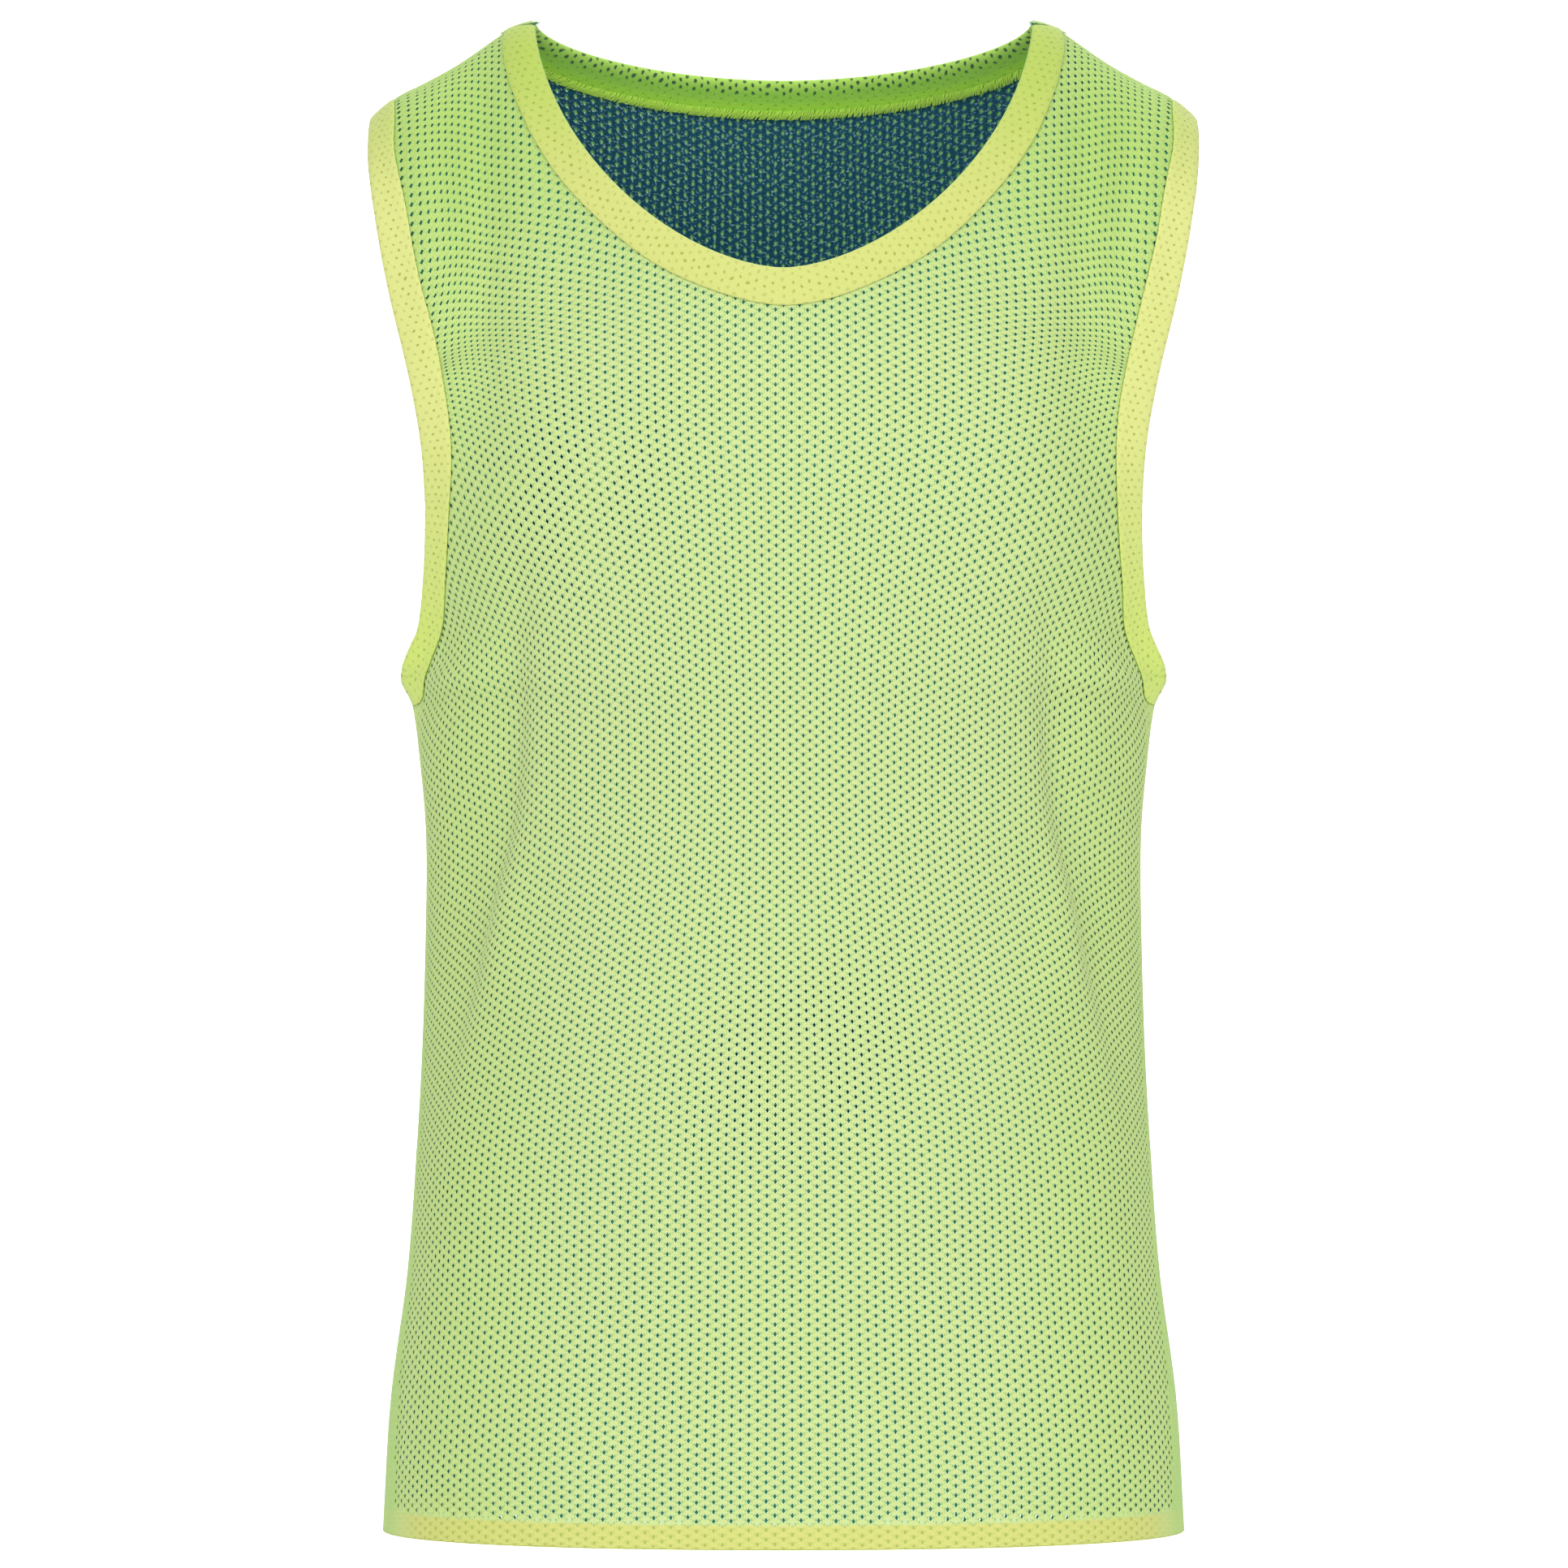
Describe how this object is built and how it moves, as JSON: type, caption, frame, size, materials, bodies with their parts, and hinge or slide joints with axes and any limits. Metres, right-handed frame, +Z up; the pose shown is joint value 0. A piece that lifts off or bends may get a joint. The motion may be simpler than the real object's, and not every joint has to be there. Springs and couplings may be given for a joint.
{
  "type": "training bib",
  "caption": "Sleeveless reversible training bib in two layers of mesh cloth, filled out as worn, with bound neck and armholes and a turned hem.",
  "frame": {"origin": "midway between the two shoulder straps, where a wearer's shoulders carry the bib", "axes": "+Z up, the front faces -Y, +X is the wearer's left"},
  "size_m": [0.3761, 0.2648, 0.6923],
  "materials": {
    "lime_mesh": "matt perforated knit",
    "petrol_mesh": "matt perforated knit",
    "band": "doubled matt knit"
  },
  "bodies": {
    "root": {"front_outer": "lime_mesh", "back_outer": "lime_mesh", "front_inner": "petrol_mesh", "back_inner": "petrol_mesh", "neck_binding": "band", "armhole_binding_left": "band", "armhole_binding_right": "band", "hem_band": "band"}
  },
  "joints": []
}
